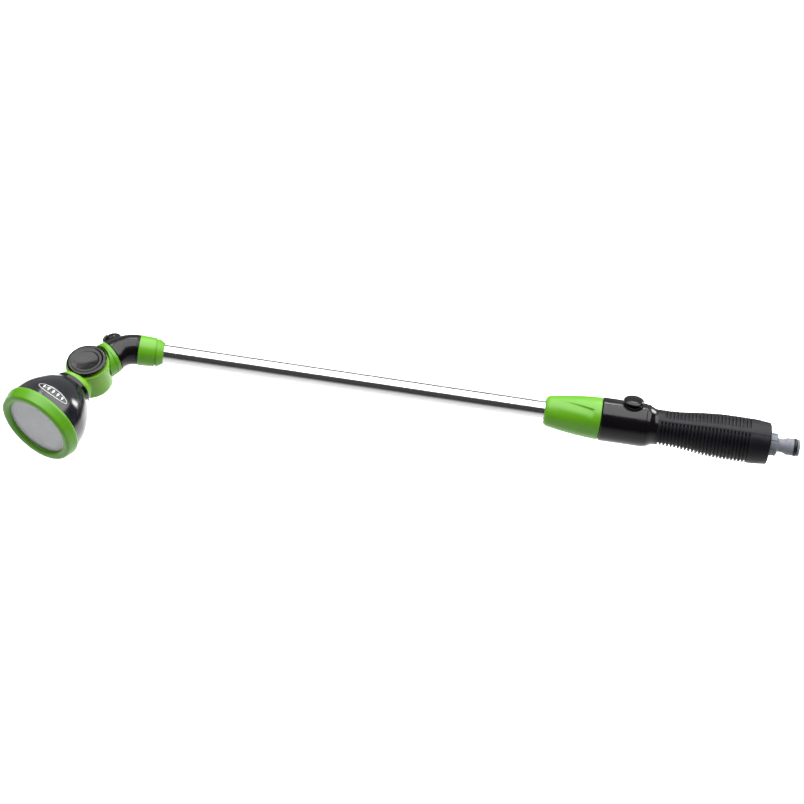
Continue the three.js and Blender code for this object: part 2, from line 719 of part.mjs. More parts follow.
function bell() {
  const inside = bellCurve(BELL_WALL).slice(1, -1).reverse();
  const hole = NECK_SPIGOT_R + GAP;
  const floor = BELL_BACK + BELL_WALL + 0.3;
  const rimR = BEZEL_BORE_R - GAP;
  const profile = [
    ...bellCurve(0), [BEZEL_BACK - GAP, rimR], [BELL_FRONT, rimR], [BELL_FRONT, BELL_LIP_R],
    [BELL_FRONT - 2.2, BELL_LIP_R], ...inside, [floor, 18], [floor, hole], [BELL_BACK, hole],
  ];
  return piece('bell', revolve(outward(profile)), anthraciteGloss());
}

function bellNut() {
  const hexagon = rod(-NECK_SPIGOT_END, -BELL_BACK - 3, 17.4, 6);
  const bore = rod(-NECK_SPIGOT_END - 1, -34, NECK_SPIGOT_R + GAP, ROUND);
  return piece('bell_nut', hexagon.subtract(bore), whitePlastic());
}

function roseGasket() {
  const back = BELL_FRONT + GAP;
  return piece('rose_gasket', ring(-back - 2, -back, PLATE_R, BELL_LIP_R), sealRubber());
}

function sprayHole(x, y) {
  const radius = 1;
  const sides = 5;
  const points = circleShape(radius, sides).getPoints();
  return new THREE.Path(points.map((point) => point.add(new THREE.Vector2(x, y))));
}

// The rose plate: rings of spray holes through a thin disc.
function rosePlate() {
  const thickness = 1.2;
  const rings = 3;
  const spacing = 9.5;
  const shape = circleShape(PLATE_R, ROUND);
  shape.holes.push(sprayHole(0, 0));
  for (let k = 1; k <= rings; k += 1) {
    const count = 6 * k;
    for (let i = 0; i < count; i += 1) {
      const angle = (2 * Math.PI * i) / count;
      shape.holes.push(sprayHole(spacing * k * Math.cos(angle), spacing * k * Math.sin(angle)));
    }
  }
  const geometry = new THREE.ExtrudeGeometry(shape, { depth: thickness, bevelEnabled: false });
  geometry.rotateY(Math.PI / 2);
  geometry.translate(-BELL_FRONT - 2.6 - thickness, 0, 0);
  return piece('rose_plate', solidOf(geometry), pearlPlastic());
}

function bezel() {
  const lip = 84.9;
  const profile = outward([
    [BEZEL_BACK, ROSE_R - 0.6], [BEZEL_BACK + 0.7, ROSE_R], [BEZEL_BACK + 2.7, ROSE_R],
    [BEZEL_FRONT - 1, ROSE_R - 2.2], [BEZEL_FRONT, ROSE_R - 3.2], [BEZEL_FRONT, 33.9],
    [BEZEL_FRONT - 0.7, 32.9], [lip, 32.7], [lip, BEZEL_BORE_R], [BEZEL_BACK, BEZEL_BORE_R],
  ]);
  return piece('bezel', revolve(profile, FINE), limePlastic());
}

// ---- assembly ----

const valve = new THREE.Group();
valve.position.x = VALVE_X;
valve.add(valveBall(), valveSeat('valve_seat_rear', 1), valveSeat('valve_seat_front', -1), spindle(),
  spindleSeal(), valveBonnet(), flowKnob());

const head = new THREE.Group();
head.position.x = -PIVOT_OUT;
head.rotation.z = radians(TILT_REST);
head.add(pivotBarrel(), neckRing(), bellSeal(), bell(), bellNut(), roseGasket(), rosePlate(), bezel());

const pivot = new THREE.Group();
pivot.position.x = -PIVOT_OUT;
pivot.add(pivotCore(), pivotSeal('pivot_seal_upper', PIVOT_SEAL_UPPER),
  pivotSeal('pivot_seal_lower', PIVOT_SEAL_LOWER), tiltSpring(), tiltButton());

const swivel = new THREE.Group();
swivel.rotation.x = radians(SWIVEL_REST);
swivel.add(swivelCollar(), swivelSeal(), swivelClip(), pivot, head);

const collarLine = new THREE.Group();
collarLine.rotation.z = radians(ELBOW_BEND);
collarLine.add(latchButton(), latchSpring(), swivel);

const elbowEnd = new THREE.Group();
elbowEnd.position.x = ELBOW_X;
elbowEnd.rotation.x = radians(ELBOW_TURN);
elbowEnd.add(elbow(), collarLine);

const wand = new THREE.Group();
wand.add(hoseConnector(), connectorORing(), connectorWasher(), handleBody(), gripSleeve(), valve,
  sleeveNut(), tubeCollet(), tubeSeal(), tube(), elbowNut(), elbowFerrule(), elbowSeal(), elbowEnd);

export default wand;
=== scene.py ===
"""Looks for the watering wand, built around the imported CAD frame.

Shapes are described in millimetres in the local place of their part of the wand: a place's x axis runs
along the part, and points go back to the shared frame, in metres, when a mesh is made.
"""

import json
import math

import bmesh
import bpy
import numpy as np
from mathutils import Matrix, Vector
from mathutils.geometry import delaunay_2d_cdt


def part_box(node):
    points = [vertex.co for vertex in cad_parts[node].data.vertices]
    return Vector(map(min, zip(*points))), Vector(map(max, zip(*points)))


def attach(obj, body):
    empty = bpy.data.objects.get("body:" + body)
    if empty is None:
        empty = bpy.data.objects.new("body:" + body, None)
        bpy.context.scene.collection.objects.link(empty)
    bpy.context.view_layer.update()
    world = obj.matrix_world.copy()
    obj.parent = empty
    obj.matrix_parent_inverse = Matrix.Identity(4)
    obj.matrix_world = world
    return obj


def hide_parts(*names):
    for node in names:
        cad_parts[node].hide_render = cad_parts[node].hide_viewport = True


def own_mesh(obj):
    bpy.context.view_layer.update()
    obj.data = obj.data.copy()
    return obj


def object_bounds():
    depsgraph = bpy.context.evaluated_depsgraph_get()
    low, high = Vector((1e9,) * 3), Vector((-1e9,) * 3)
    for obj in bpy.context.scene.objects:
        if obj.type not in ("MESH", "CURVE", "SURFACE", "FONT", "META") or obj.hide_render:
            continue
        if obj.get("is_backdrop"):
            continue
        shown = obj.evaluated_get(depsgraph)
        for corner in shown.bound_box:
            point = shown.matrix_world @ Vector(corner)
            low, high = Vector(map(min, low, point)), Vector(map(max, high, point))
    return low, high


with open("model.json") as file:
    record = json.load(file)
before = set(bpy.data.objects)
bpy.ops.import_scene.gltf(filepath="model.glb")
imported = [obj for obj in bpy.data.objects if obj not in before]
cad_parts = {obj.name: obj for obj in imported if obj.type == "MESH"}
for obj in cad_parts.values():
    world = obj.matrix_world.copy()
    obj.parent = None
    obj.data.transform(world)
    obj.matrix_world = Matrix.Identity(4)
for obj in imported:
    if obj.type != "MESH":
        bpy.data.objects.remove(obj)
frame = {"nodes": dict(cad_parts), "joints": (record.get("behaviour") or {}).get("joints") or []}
cad_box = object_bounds()

MM = 0.001
TURN = 2 * math.pi

# ---- places, worked out from the frame's joints and nodes ----


def place(origin, x_axis, z_axis):
    """The matrix of a local place: x_axis along the part, z_axis as near as it can be to that."""
    x = Vector(x_axis).normalized()
    y = Vector(z_axis).cross(x).normalized()
    matrix = Matrix((x, y, x.cross(y))).transposed().to_4x4()
    matrix.translation = origin
    return matrix


def centroid(node):
    points = [vertex.co for vertex in frame["nodes"][node].data.vertices]
    return sum(points, Vector()) / len(points)


# How far out along the swivel's axis the latch button sits, from the elbow's corner.
LATCH_OUT = 11.0

joints = {joint["name"]: joint for joint in frame["joints"]}
corner = Vector(joints["head_swivel"]["pos_m"])
outward = Vector(joints["head_swivel"]["axis"])
press = Vector(joints["latch_press"]["axis"])
pivot = Vector(joints["head_tilt"]["pos_m"])
tilt_axis = Vector(joints["head_tilt"]["axis"])
valve_foot = Vector(joints["flow_valve"]["pos_m"])

ROD = place((0, 0, 0), (1, 0, 0), (0, 0, 1))
VALVE = place(valve_foot, joints["flow_valve"]["axis"], (-1, 0, 0))
COLLAR = place(corner, -outward, (-outward).cross(-press))
ELBOW = place(corner, (1, 0, 0), COLLAR.col[2].to_3d())
HEAD = place(pivot, pivot - centroid("rose_plate"), tilt_axis)
BUTTON = place(pivot, tilt_axis, outward)
LATCH = place(corner + LATCH_OUT * MM * outward, -press, outward)

BEND = math.acos(-outward.x)
PIVOT_OUT = (pivot - corner).length / MM


def rotation_of(matrix):
    return np.array(matrix.to_3x3())


def into(matrix, points):
    """Points of the shared frame, in metres, as millimetres in a place."""
    return (np.asarray(points) - np.array(matrix.translation)) @ rotation_of(matrix) / MM


def out_of(matrix, points):
    """Millimetres in a place, as points of the shared frame, in metres."""
    return np.asarray(points, float) @ rotation_of(matrix).T * MM + np.array(matrix.translation)


def reach(node, matrix):
    """How far a CAD node goes along a place's x axis, and its largest radius there, in millimetres."""
    points = into(matrix, [vertex.co for vertex in frame["nodes"][node].data.vertices])
    radii = np.hypot(points[:, 1], points[:, 2])
    return points[:, 0].min(), points[:, 0].max(), radii.max()


# ---- meshes ----


def mesh_of(points, faces, matrix, name):
    mesh = bpy.data.meshes.new(name)
    mesh.from_pydata(out_of(matrix, points).tolist(), [], [list(face) for face in faces])
    piece = bpy.data.objects.new(name, mesh)
    bpy.context.scene.collection.objects.link(piece)
    return piece


def clean(piece, sharp_degrees=34):
    """Joins doubled points, turns faces outward, and shades smooth except across sharp edges."""
    work = bmesh.new()
    work.from_mesh(piece.data)
    bmesh.ops.remove_doubles(work, verts=work.verts, dist=2e-7)
    bmesh.ops.dissolve_degenerate(work, edges=work.edges, dist=1e-8)
    bmesh.ops.recalc_face_normals(work, faces=work.faces)
    if work.calc_volume(signed=True) < 0:
        bmesh.ops.reverse_faces(work, faces=work.faces)
    for face in work.faces:
        face.smooth = True
    limit = math.radians(sharp_degrees)
    for edge in work.edges:
        edge.smooth = not (len(edge.link_faces) == 2 and edge.calc_face_angle() > limit)
    work.to_mesh(piece.data)
    work.free()
    return piece


def skin(rows, matrix, name, loop=False):
    """A surface over rows of points that each go once round. loop joins the last row to the first."""
    rows = np.asarray(rows, float)
    count, around = rows.shape[:2]
    faces = []
    for i in range(count if loop else count - 1):
        here, there = i * around, (i + 1) % count * around
        for j in range(around):
            k = (j + 1) % around
            faces.append((here + j, here + k, there + k, there + j))
    return clean(mesh_of(rows.reshape(-1, 3), faces, matrix, name))


def soften(profile, size=0.3, steps=4, loop=True):
    """Rounds the corners of a profile. Each corner is (along, radius) or (along, radius, its own size)."""
    points = [np.array(corner[:2], float) for corner in profile]
    sizes = [corner[2] if len(corner) > 2 else size for corner in profile]
    smooth = []
    for i, (point, rounding) in enumerate(zip(points, sizes)):
        if rounding == 0 or (not loop and i in (0, len(points) - 1)):
            smooth.append(point)
            continue
        before, after = points[i - 1] - point, points[(i + 1) % len(points)] - point
        near = min(rounding, 0.48 * np.linalg.norm(before)) * before / np.linalg.norm(before)
        far = min(rounding, 0.48 * np.linalg.norm(after)) * after / np.linalg.norm(after)
        for step in range(steps + 1):
            t = step / steps
            smooth.append(point + (1 - t) ** 2 * near + t ** 2 * far)
    return smooth


def lathe(profile, matrix, name, segments=96, loop=True, swell=None):
    """Turns a profile of (along, radius) about the x axis. swell(along, angles, radius) may reshape it."""
    angles = np.arange(segments) / segments * TURN
    rows = []
    for along, radius in profile:
        radii = np.full(segments, radius) if swell is None else swell(along, angles, radius)
        rows.append(np.column_stack([
            np.full(segments, along), -radii * np.sin(angles), radii * np.cos(angles)]))
    return skin(rows, matrix, name, loop)


def from_top(angles):
    """Degrees from the top of the wand, either way round."""
    return np.abs(np.degrees((angles + np.pi) % TURN - np.pi))


def wave(low, high, count):
    """Even numbers from low to high, for sampling a curve."""
    return [low + (high - low) * i / count for i in range(count + 1)]


def ease(value, low, high):
    """0 below low, 1 above high, smooth between. Works on numbers and arrays."""
    t = np.clip((np.asarray(value, float) - low) / (high - low), 0, 1)
    return t * t * (3 - 2 * t)


# ---- shapes given by a field: negative inside, zero on the surface, in millimetres ----


def merged(a, b, blend):
    """Union of two fields with a fillet about blend wide."""
    h = np.clip(0.5 + 0.5 * (b - a) / blend, 0, 1)
    return b + (a - b) * h - blend * h * (1 - h)


def common(a, b, blend):
    return -merged(-a, -b, blend)


def without(a, b, blend):
    """Field a with field b cut out of it."""
    return common(a, -b, blend)


def off_axis(p, axis=0):
    """How far points are from one of the place's axes."""
    first, second = [i for i in range(3) if i != axis]
    return np.hypot(p[:, first], p[:, second])


def tube_field(p, axis, radius, low, high, edge=0.6):
    """A round bar along one of the place's axes."""
    wall = off_axis(p, axis) - radius
    return common(common(wall, low - p[:, axis], edge), p[:, axis] - high, edge)


def turned_field(p, stations, radii, edge=0.6):
    """A turned shape about x through (station, radius) points."""
    wall = off_axis(p) - np.interp(p[:, 0], stations, radii)
    return common(common(wall, stations[0] - p[:, 0], edge), p[:, 0] - stations[-1], edge)


def block_field(p, centre, half, rounding):
    q = np.abs(p - np.array(centre)) - np.array(half) + rounding
    return np.linalg.norm(np.maximum(q, 0), axis=1) + np.minimum(q.max(axis=1), 0) - rounding


def egg_field(p, centre, radii):
    q = p - np.array(centre)
    near = np.linalg.norm(q / np.array(radii), axis=1)
    slope = np.linalg.norm(q / np.array(radii) ** 2, axis=1)
    return near * (near - 1) / np.maximum(slope, 1e-6)


def cell_points(values, low, step):
    """One point in each grid cell that the surface passes through, and the quads that join them."""
    cells = np.array(values.shape) - 1
    total = np.zeros((cells.prod(), 3))
    count = np.zeros(cells.prod())
    quads = []
    for axis in range(3):
        u, v = (axis + 1) % 3, (axis + 2) % 3
        start = np.moveaxis(values, axis, 0)[:-1]
        end = np.moveaxis(values, axis, 0)[1:]
        found = np.argwhere((start < 0) != (end < 0))
        a = start[tuple(found.T)]
        b = end[tuple(found.T)]
        order = [axis] + [i for i in range(3) if i != axis]
        index = np.empty_like(found)
        index[:, order] = found
        crossing = index.astype(float)
        crossing[:, axis] += a / (a - b)
        ids = []
        for du, dv in ((0, 0), (1, 0), (1, 1), (0, 1)):
            cell = index.copy()
            cell[:, u] -= du
            cell[:, v] -= dv
            flat = np.ravel_multi_index(cell.T, cells)
            np.add.at(total, flat, crossing)
            np.add.at(count, flat, 1)
            ids.append(flat)
        quad = np.column_stack(ids)
        flip = a < 0
        quad[flip] = quad[flip][:, ::-1]
        quads.append(quad)
    used = np.flatnonzero(count)
    number = np.full(cells.prod(), -1)
    number[used] = np.arange(len(used))
    points = np.array(low) + step * total[used] / count[used][:, None]
    return points, number[np.vstack(quads)]


def grown(field, low, high, step, matrix, name):
    """The surface where a field is zero, found on a grid and then pulled on to the field itself."""
    axes = [np.arange(low[i] - 2 * step, high[i] + 3 * step, step) for i in range(3)]
    grid = np.stack(np.meshgrid(*axes, indexing="ij"), axis=-1)
    values = field(grid.reshape(-1, 3)).reshape(grid.shape[:3])
    points, faces = cell_points(values, [axis[0] for axis in axes], step)
    nudge = 0.05
    for _ in range(3):
        slope = np.column_stack([
            (field(points + nudge * way) - field(points - nudge * way)) / (2 * nudge)
            for way in np.eye(3)])
        steep = np.maximum((slope ** 2).sum(axis=1), 0.25)
        move = -(field(points) / steep)[:, None] * slope
        points = points + np.clip(move, -step / 2, step / 2)
    return clean(mesh_of(points, faces, matrix, name), 50)


# ---- materials ----


def colour(red, green, blue):
    """A screen colour of 0 to 255, as the linear colour that shaders take."""
    return tuple(
        (c / 255 / 12.92) if c <= 10 else ((c / 255 + 0.055) / 1.055) ** 2.4
        for c in (red, green, blue)) + (1,)


class Finish:
    """A node material with soft patches of colour, varying roughness, fine grain, worn edges that also carry
    a painted highlight, and hollows darkened by painted shade and dust.
    """

    def __init__(self, name, roughness, metallic=0.0, specular=0.5, coat=0.0):
        self.material = bpy.data.materials.new(name)
        self.material.use_nodes = True
        self.tree = self.material.node_tree
        self.shader = self.tree.nodes["Principled BSDF"]
        self.shader.inputs["Roughness"].default_value = roughness
        self.shader.inputs["Metallic"].default_value = metallic
        self.shader.inputs["Specular IOR Level"].default_value = specular
        self.shader.inputs["Coat Weight"].default_value = coat
        self.shader.inputs["Coat Roughness"].default_value = 0.08
        self.coordinates = self.add("ShaderNodeTexCoord")

    def add(self, kind, **values):
        node = self.tree.nodes.new(kind)
        for key, value in values.items():
            setattr(node, key, value)
        return node

    def join(self, source, target):
        self.tree.links.new(source, target)

    def noise(self, scale, detail=3.0, stretch=(1, 1, 1)):
        """Soft noise from 0 to 1, in cycles a metre, stretched along the object's axes."""
        mapping = self.add("ShaderNodeMapping")
        mapping.inputs["Scale"].default_value = stretch
        self.join(self.coordinates.outputs["Object"], mapping.inputs["Vector"])
        noise = self.add("ShaderNodeTexNoise")
        noise.inputs["Scale"].default_value = scale
        noise.inputs["Detail"].default_value = detail
        self.join(mapping.outputs["Vector"], noise.inputs["Vector"])
        return noise.outputs["Fac"]

    def between(self, value, from_low, from_high, low, high):
        """Value mapped from one range to another and held inside it."""
        node = self.add("ShaderNodeMapRange")
        node.inputs["From Min"].default_value = from_low
        node.inputs["From Max"].default_value = from_high
        node.inputs["To Min"].default_value = low
        node.inputs["To Max"].default_value = high
        self.join(value, node.inputs["Value"])
        return node.outputs["Result"]

    def mixed(self, share, first, second):
        """A colour between two; each is a colour or another node's output."""
        node = self.add("ShaderNodeMix", data_type="RGBA")
        self.join(share, node.inputs[0])
        for socket, value in ((node.inputs[6], first), (node.inputs[7], second)):
            if isinstance(value, tuple):
                socket.default_value = value
            else:
                self.join(value, socket)
        return node.outputs[2]

    def paint(self, first, second, patches, wear_and_highlight=None, dust_and_shade=None):
        """Base colour between two tones, with convex edges lighter for wear and a painted highlight, and
        hollows darker for painted shade and dust.
        """
        result = self.mixed(self.between(patches, 0.3, 0.7, 0, 1), first, second)
        edges = self.add("ShaderNodeNewGeometry").outputs["Pointiness"]
        # Convex edges lighter: wear, and a painted highlight.
        if wear_and_highlight:
            result = self.mixed(self.between(edges, 0.53, 0.62, 0, 0.5), result, wear_and_highlight)
        # Hollows darker: painted shade, with some dust.
        if dust_and_shade:
            result = self.mixed(self.between(edges, 0.47, 0.40, 0, 0.4), result, dust_and_shade)
        self.join(result, self.shader.inputs["Base Color"])

    def polish(self, patches, low, high):
        self.join(self.between(patches, 0.3, 0.7, low, high), self.shader.inputs["Roughness"])

    def grain(self, height, strength, depth):
        bump = self.add("ShaderNodeBump")
        bump.inputs["Strength"].default_value = strength
        bump.inputs["Distance"].default_value = depth * MM
        self.join(height, bump.inputs["Height"])
        self.join(bump.outputs["Normal"], self.shader.inputs["Normal"])


def moulded(name, first, second, wear_and_highlight, roughness, specular, coat=0.0, dust_and_shade=None):
    """Smooth moulded plastic: faint flow patches, fine orange peel and a few handling marks."""
    finish = Finish(name, roughness, specular=specular, coat=coat)
    finish.paint(first, second, finish.noise(28, 4), wear_and_highlight, dust_and_shade)
    marks = finish.noise(160, 5, (0.5, 1, 1))
    finish.polish(marks, roughness - 0.05, roughness + 0.07)
    finish.grain(finish.noise(900, 2), 0.12, 0.12)
    return finish.material


def lime_plastic():
    # The pale yellow-green edge tone is a painted highlight; the dark green hollow tone is painted shade.
    return moulded("lime_plastic", colour(90, 160, 20), colour(100, 168, 26), colour(168, 208, 86),
                   0.34, 0.5, dust_and_shade=colour(46, 108, 12))


def pale_lime_plastic():
    # The pale edge tone is a painted highlight; the dark green hollow tone is painted shade.
    return moulded("pale_lime_plastic", colour(104, 168, 28), colour(116, 176, 36), colour(178, 214, 100),
                   0.34, 0.5, dust_and_shade=colour(50, 112, 14))


def black_gloss():
    return moulded("black_gloss", colour(9, 7, 9), colour(14, 11, 14), colour(60, 58, 62), 0.16, 0.4)


def anthracite_gloss():
    return moulded("anthracite_gloss", colour(22, 23, 28), colour(29, 30, 36), colour(74, 76, 84),
                   0.16, 0.6)


def grip_rubber():
    finish = Finish("grip_rubber", 0.4, specular=0.26)
    # The grey rib crowns are a painted highlight; the near-black hollows between the ribs are painted shade.
    finish.paint(colour(15, 12, 18), colour(21, 18, 25), finish.noise(45, 4), colour(76, 71, 80),
                 colour(2, 1, 3))
    finish.polish(finish.noise(120, 4), 0.36, 0.5)
    finish.grain(finish.noise(2600, 3), 0.35, 0.12)
    return finish.material


def seal_rubber():
    finish = Finish("seal_rubber", 0.45, specular=0.4)
    finish.paint(colour(14, 14, 15), colour(22, 22, 24), finish.noise(300, 3))
    finish.polish(finish.noise(500, 3), 0.38, 0.55)
    finish.grain(finish.noise(3500, 2), 0.3, 0.06)
    return finish.material


def grey_plastic():
    # Its hollows are darkened with painted shade.
    return moulded("grey_plastic", colour(120, 123, 133), colour(130, 133, 142), colour(168, 170, 180),
                   0.4, 0.3, dust_and_shade=colour(84, 87, 96))


def pearl_plastic():
    finish = Finish("pearl_plastic", 0.42, specular=0.5)
    # Its hollows are darkened with painted shade.
    finish.paint(colour(196, 196, 202), colour(206, 206, 211), finish.noise(22, 3), colour(220, 220, 224),
                 colour(140, 140, 146))
    finish.polish(finish.noise(70, 4), 0.36, 0.5)
    finish.grain(finish.noise(2200, 2), 0.2, 0.08)
    return finish.material


def white_plastic():
    # Its hollows are darkened with painted shade.
    return moulded("white_plastic", colour(222, 220, 212), colour(230, 228, 222), colour(240, 240, 236),
                   0.45, 0.5, dust_and_shade=colour(176, 172, 160))


def polished_aluminium():
    """Drawn tube: bright, with hair lines along its length and slightly cloudier patches."""
    finish = Finish("polished_aluminium", 0.14, metallic=1.0)
    finish.shader.inputs["Specular Tint"].default_value = (0.62, 0.62, 0.63, 1)
    finish.paint(colour(222, 222, 224), colour(232, 232, 234), finish.noise(12, 4, (0.4, 1, 1)))
    lines = finish.noise(1400, 3, (0.012, 1, 1))
    finish.polish(lines, 0.1, 0.2)
    finish.grain(lines, 0.1, 0.03)
    return finish.material


def brass():
    finish = Finish("brass", 0.3, metallic=1.0)
    finish.paint(colour(190, 150, 78), colour(204, 166, 92), finish.noise(150, 4), colour(224, 196, 130),
                 colour(120, 88, 40))
    finish.polish(finish.noise(400, 4), 0.22, 0.4)
    finish.grain(finish.noise(2000, 3, (1, 1, 0.05)), 0.2, 0.05)
    return finish.material


def spring_steel():
    finish = Finish("spring_steel", 0.3, metallic=1.0)
    finish.paint(colour(168, 170, 176), colour(184, 186, 190), finish.noise(200, 4))
    finish.polish(finish.noise(700, 4), 0.2, 0.38)
    finish.grain(finish.noise(3000, 2), 0.2, 0.03)
    return finish.material


def print_ink():
    finish = Finish("print_ink", 0.4)
    finish.paint(colour(226, 226, 230), colour(238, 238, 240), finish.noise(260, 4))
    finish.polish(finish.noise(600, 3), 0.34, 0.5)
    finish.grain(finish.noise(3200, 2), 0.25, 0.04)
    return finish.material


materials = {make.__name__: make() for make in (
    lime_plastic, pale_lime_plastic, black_gloss, anthracite_gloss, grip_rubber, seal_rubber, grey_plastic,
    pearl_plastic, white_plastic, polished_aluminium, brass, spring_steel, print_ink)}


def finished(piece, body, slot, *nodes):
    """Gives a piece its material, sets it on the body it rides on, and hides the CAD nodes it stands for."""
    piece.data.materials.clear()
    piece.data.materials.append(materials[slot])
    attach(piece, body)
    if nodes:
        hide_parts(*nodes)
    return piece


# ---- hose connector ----


def hose_connector():
    """Quick-connect nose with a seal groove, a waist, and a collar with finger notches."""
    back, front, flange = reach("hose_connector", ROD)
    nose, waist, shank, bore = flange - 2.8, flange - 4.7, flange - 1.3, flange - 6.5
    groove = nose - 1.8
    groove_front, groove_back = front - 2.6, front - 6.6
    collar_front, collar_back = front - 23.8, front - 31.2
    tip = [(front, nose - 1, 0.6), (front - 0.8, nose - 0.3, 0.5), (groove_front, nose - 0.3)]
    seal_groove = [(groove_front, groove), (groove_back, groove), (groove_back, nose)]
    fine_groove = [
        (front - 9.8, nose), (front - 10.2, nose - 0.5), (front - 10.9, nose - 0.5), (front - 11.3, nose)]
    neck = [(front - 13.2, nose, 1), (front - 17, waist, 1.6), (front - 22, waist, 1)]
    collar = [(collar_front, flange, 0.6), (collar_back, flange), (collar_back, shank)]
    inside = [(back, shank), (back, bore), (front, bore, 0.8)]
    profile = soften(tip + seal_groove + fine_groove + neck + collar + inside)
    longest = 0.8
    fine = []
    for here, there in zip(profile, profile[1:] + profile[:1]):
        count = max(1, int(np.linalg.norm(there - here) / longest))
        fine += [here + (there - here) * i / count for i in range(count)]

    notches, notch_depth = 8, 0.8

    def notched(along, angles, radius):
        on_collar = ease(along, collar_back + 0.2, collar_back + 1.2)
        on_collar = on_collar * (1 - ease(along, collar_front - 1.4, collar_front - 0.4))
        notch = ease(np.cos(notches * angles), 0.72, 0.95) * on_collar * (radius > flange - 0.5)
        return radius - notch_depth * notch

    piece = lathe(fine, ROD, "hose_connector_detail", 144, swell=notched)
    finished(piece, "wand", "grey_plastic", "hose_connector")


def o_ring(node, matrix, body, widening=1.0):
    """A round rubber ring as big as its CAD ring; widening makes it that much longer along the axis."""
    low, high, outer = reach(node, matrix)
    points = into(matrix, [vertex.co for vertex in frame["nodes"][node].data.vertices])
    inner = np.hypot(points[:, 1], points[:, 2]).min()
    section = []
    for angle in wave(0, TURN, 20)[:-1]:
        along = (low + high) / 2 + widening * (high - low) / 2 * math.cos(angle)
        section.append((along, (inner + outer) / 2 + (outer - inner) / 2 * math.sin(angle)))
    finished(lathe(section, matrix, node + "_detail"), body, "seal_rubber", node)


def coil_spring(node, matrix, body, wire, turns, foot_r, head_r):
    """A round-wire spring along the place's x axis, on a mesh of its own. The real spring shortens as its
    button is pressed; this mesh is drawn at one length.
    """
    low, high, _ = reach(node, matrix)
    steps = int(40 * turns)
    around = 10
    rows = []
    # The rows before the first step and after the last have no thickness, and close the wire's ends.
    for step in range(-1, steps + 2):
        share = min(max(step, 0), steps) / steps
        thickness = wire if 0 <= step <= steps else 0
        turn = turns * TURN * share
        along = low + wire + (high - low - 2 * wire) * share
        coil_r = foot_r + (head_r - foot_r) * share
        row = []
        for angle in wave(0, TURN, around)[:-1]:
            out = coil_r + thickness * math.cos(angle)
            row.append((along + thickness * math.sin(angle), out * math.cos(turn), out * math.sin(turn)))
        rows.append(row)
    piece = finished(skin(rows, matrix, node + "_detail"), body, "spring_steel", node)
    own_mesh(piece)


# ---- grip ----

RIB_PITCH = 3.7
RIB_DEPTH = 2.3
STEM_R = 14.7


def grip_line(along, back, front, full):
    """The grip's radius without its ribs: a waist at the shoulder, full at the palm, a tapered end."""
    waist = full - 4.8
    palm = front - 43.5
    shoulder = back + 5.7
    end_taper = 1.4
    rise = np.clip((along - shoulder) / (palm - shoulder), 0, 1)
    radius = waist + (full - waist) * (1 - np.cos(np.pi * rise)) / 2
    return radius - end_taper * ease(along, front - 16, front)


def grip_sleeve():
    """Rubber grip: closely set ribs round the sides and below, a smooth band, and short slots on top."""
    back, front, full = reach("grip_sleeve", ROD)
    inner = STEM_R + 0.3
    ribs_front, ribs_back = front - 20, back + 2.2
    slots_front, slots_back = front - 19.5, back + 5
    # Where the outline has points along one pitch, as shares of it: closest where the rib falls away.
    rib_shape = (0, 0.06, 0.16, 0.36, 0.42, 0.48, 0.54, 0.7, 0.86, 0.93)
    # Degrees from the top: the slots end at the first, the ribs start at the second, the band is between.
    slot_edge, rib_edge = 27, 41
    band_lift = 0.25
    stations = list(wave(front - 1.2, ribs_front, 14))
    ribs = int((ribs_front - ribs_back) / RIB_PITCH)
    for rib in range(ribs):
        stations += [ribs_front - RIB_PITCH * (rib + share) for share in rib_shape if rib + share > 0]
    stations += wave(ribs_front - ribs * RIB_PITCH, back, 5)

    def ribbed(along, angles, radius):
        if not back <= along <= front - 1.1 or radius < inner + 1:
            return np.full(len(angles), radius)
        phase = ((ribs_front - along) / RIB_PITCH) % 1
        valley = ease(phase, 0.4, 0.54) * (1 - ease(phase, 0.86, 1.0))
        aside = from_top(angles)
        sides = ease(aside, rib_edge, rib_edge + 5) * (ribs_back < along < ribs_front)
        top = (1 - ease(aside, slot_edge - 5, slot_edge)) * (slots_back < along < slots_front)
        band = ease(aside, slot_edge - 1, slot_edge + 2) * (1 - ease(aside, rib_edge - 3, rib_edge))
        return radius + band_lift * (band - 1) - valley * RIB_DEPTH * (sides + 0.75 * top)

    outside = [(x, float(grip_line(x, back, front, full))) for x in stations]
    end = [(front, 12.4), (front, full - 3), (front - 0.25, full - 2.4), (front - 0.7, full - 1.9)]
    inside = [(back, inner + 0.4), (back + 0.4, inner), (front - 1.7, inner), (front - 1.7, 12)]
    profile = end + outside + inside
    piece = lathe(profile, ROD, "grip_sleeve_detail", 180, swell=ribbed)
    finished(piece, "wand", "grip_rubber", "grip_sleeve")


# ---- handle body and valve ----


def cut(piece, tool):
    """Cuts a tool's shape out of a piece for good."""
    modifier = piece.modifiers.new("cut", "BOOLEAN")
    modifier.operation = "DIFFERENCE"
    modifier.solver = "EXACT"
    modifier.object = tool
    bpy.context.view_layer.update()
    made = bpy.data.meshes.new_from_object(piece.evaluated_get(bpy.context.evaluated_depsgraph_get()))
    piece.modifiers.clear()
    piece.data = made
    bpy.data.objects.remove(tool)
    return clean(piece)


